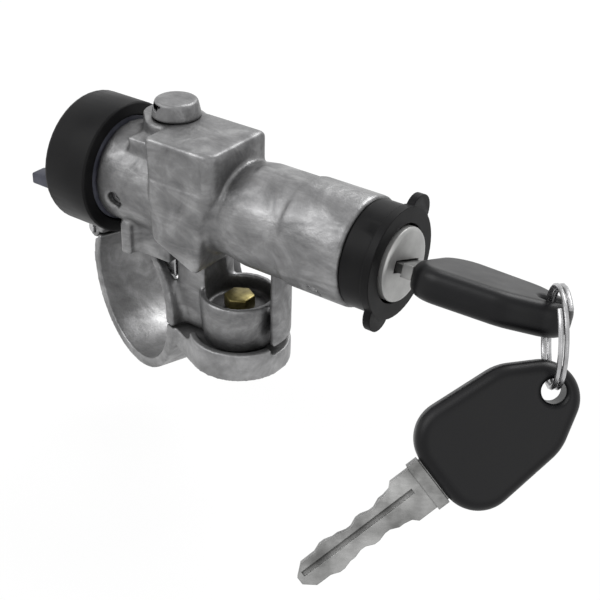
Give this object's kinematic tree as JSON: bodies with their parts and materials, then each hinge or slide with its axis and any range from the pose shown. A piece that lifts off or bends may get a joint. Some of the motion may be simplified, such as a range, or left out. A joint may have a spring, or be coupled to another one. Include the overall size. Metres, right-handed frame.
{
  "type": "steering lock with ignition switch",
  "caption": "Steering-column lock with a die-cast clamp housing, rear ignition switch, lock cylinder, key in the lock and a spare key on a split ring.",
  "frame": {"origin": "centre of the column clamp, at the middle of its width", "axes": "+X along the lock towards the key, +Z away from the column through the top of the housing"},
  "size_m": [0.1795, 0.0992, 0.093],
  "materials": {
    "die_cast_zinc": "satin",
    "bright_steel": "satin",
    "satin_cap": "satin",
    "yellow_zinc": "satin",
    "brass": "satin",
    "black_plastic": "satin",
    "grey_plastic": "satin"
  },
  "bodies": {
    "lock_body": {"housing": "die_cast_zinc", "clamp_strap": "die_cast_zinc", "clamp_bolt": "yellow_zinc", "clamp_hinge_pin": "bright_steel", "bolt_guide_cap": "die_cast_zinc", "lock_bolt_spring": "bright_steel", "start_return_spring": "bright_steel", "detent_ball": "bright_steel", "detent_spring": "bright_steel", "cylinder_sleeve": "die_cast_zinc", "cylinder_retaining_pin": "bright_steel", "front_collar": "black_plastic", "switch_body": "black_plastic", "switch_cover_plate": "grey_plastic", "terminal_plate": "grey_plastic", "connector_tab": "grey_plastic", "switch_grub_screw": "bright_steel", "switch_terminal_1": "brass", "switch_terminal_2": "brass", "switch_terminal_3": "brass", "switch_terminal_4": "brass", "switch_terminal_5": "brass", "switch_terminal_6": "brass"},
    "plug_body": {"lock_plug": "die_cast_zinc", "plug_face_cap": "satin_cap", "plug_circlip": "bright_steel", "driver_shaft": "die_cast_zinc", "switch_rotor": "grey_plastic", "contact_bridge": "brass", "wafer_1": "brass", "wafer_2": "brass", "wafer_3": "brass", "wafer_4": "brass", "wafer_5": "brass", "wafer_6": "brass", "wafer_7": "brass", "wafer_8": "brass"},
    "bolt_body": {"lock_bolt": "bright_steel"},
    "key_body": {"key_blade": "bright_steel", "key_bow": "black_plastic"},
    "ring_body": {"split_ring": "bright_steel"},
    "spare_key_body": {"spare_key_blade": "bright_steel", "spare_key_bow": "black_plastic"}
  },
  "joints": [
    {"name": "key_turn", "type": "hinge", "parent": "lock_body", "child": "plug_body", "pos_m": [0.0903, -0.0116, 0.0415], "axis": [-1, 0, 0], "range_deg": [0, 110]},
    {"name": "lock_bolt_slide", "type": "slide", "parent": "lock_body", "child": "bolt_body", "axis": [0, 0, 1], "range_m": [0, 0.006], "deforming": ["lock_bolt_spring"]},
    {"name": "key_pull", "type": "slide", "parent": "plug_body", "child": "key_body", "axis": [1, 0, 0], "range_m": [0, 0.04]},
    {"name": "ring_swing", "type": "hinge", "parent": "key_body", "child": "ring_body", "pos_m": [0.1306, -0.0116, 0.0415], "axis": [0, 0.342, 0.9397], "range_deg": [-25, 35]},
    {"name": "spare_key_swing", "type": "hinge", "parent": "ring_body", "child": "spare_key_body", "pos_m": [0.14011, -0.02626, 0.03228], "axis": [0.5064, -0.7233, 0.4695], "range_deg": [-30, 20]}
  ],
  "couplings": [
    {"joint": "lock_bolt_slide", "follows": "key_turn", "m_per_rad": 0.003125}
  ]
}
